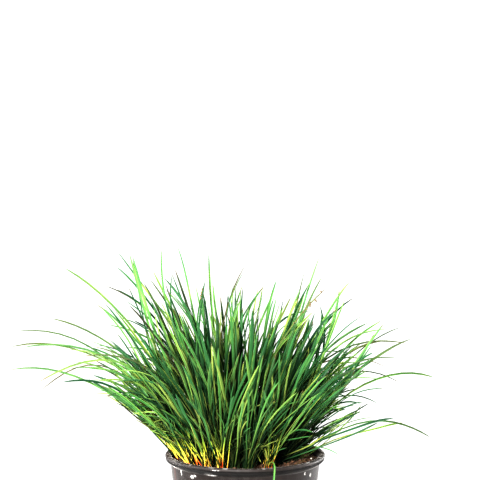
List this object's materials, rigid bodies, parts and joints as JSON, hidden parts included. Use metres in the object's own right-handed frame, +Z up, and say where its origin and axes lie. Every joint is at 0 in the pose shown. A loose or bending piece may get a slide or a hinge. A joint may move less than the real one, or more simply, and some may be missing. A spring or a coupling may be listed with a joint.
{
  "type": "potted rush",
  "caption": "Tufted rush-like plant whose narrow arching leaves grow from separate shoots in a round tapered nursery pot of bark mix, to stand on a patio or shelf.",
  "frame": {"origin": "centre of the pot's base, on the surface that it stands on", "axes": "+Z up along the pot's axis, +X to the right in the picture's view along the plant's widest spread, -Y to the viewer"},
  "size_m": [0.4512, 0.3229, 0.38],
  "materials": {
    "pot_plastic": "dark grey-brown moulded polypropylene, satin, with scuffs and specks of soil",
    "potting_mix": "dark damp bark and compost",
    "leaf": "green grass-like leaf with parallel veins, slightly glossy, red to yellow at the foot and brown at the tip"
  },
  "bodies": {
    "root": {"pot": "pot_plastic", "potting_mix": "potting_mix", "shoot_01": "leaf", "shoot_02": "leaf", "shoot_03": "leaf", "shoot_04": "leaf", "shoot_05": "leaf", "shoot_06": "leaf", "shoot_07": "leaf", "shoot_08": "leaf", "shoot_09": "leaf", "shoot_10": "leaf", "shoot_11": "leaf", "shoot_12": "leaf", "shoot_13": "leaf", "shoot_14": "leaf", "shoot_15": "leaf", "shoot_16": "leaf", "shoot_17": "leaf", "shoot_18": "leaf", "shoot_19": "leaf", "shoot_20": "leaf", "shoot_21": "leaf", "shoot_22": "leaf", "shoot_23": "leaf", "shoot_24": "leaf", "shoot_25": "leaf", "shoot_26": "leaf", "shoot_27": "leaf", "shoot_28": "leaf", "shoot_29": "leaf", "shoot_30": "leaf", "shoot_31": "leaf", "shoot_32": "leaf", "shoot_33": "leaf", "shoot_34": "leaf", "shoot_35": "leaf", "shoot_36": "leaf", "shoot_37": "leaf", "shoot_38": "leaf", "shoot_39": "leaf", "shoot_40": "leaf", "shoot_41": "leaf", "shoot_42": "leaf", "shoot_43": "leaf", "shoot_44": "leaf", "shoot_45": "leaf", "shoot_46": "leaf", "shoot_47": "leaf", "shoot_48": "leaf", "shoot_49": "leaf"}
  },
  "joints": []
}
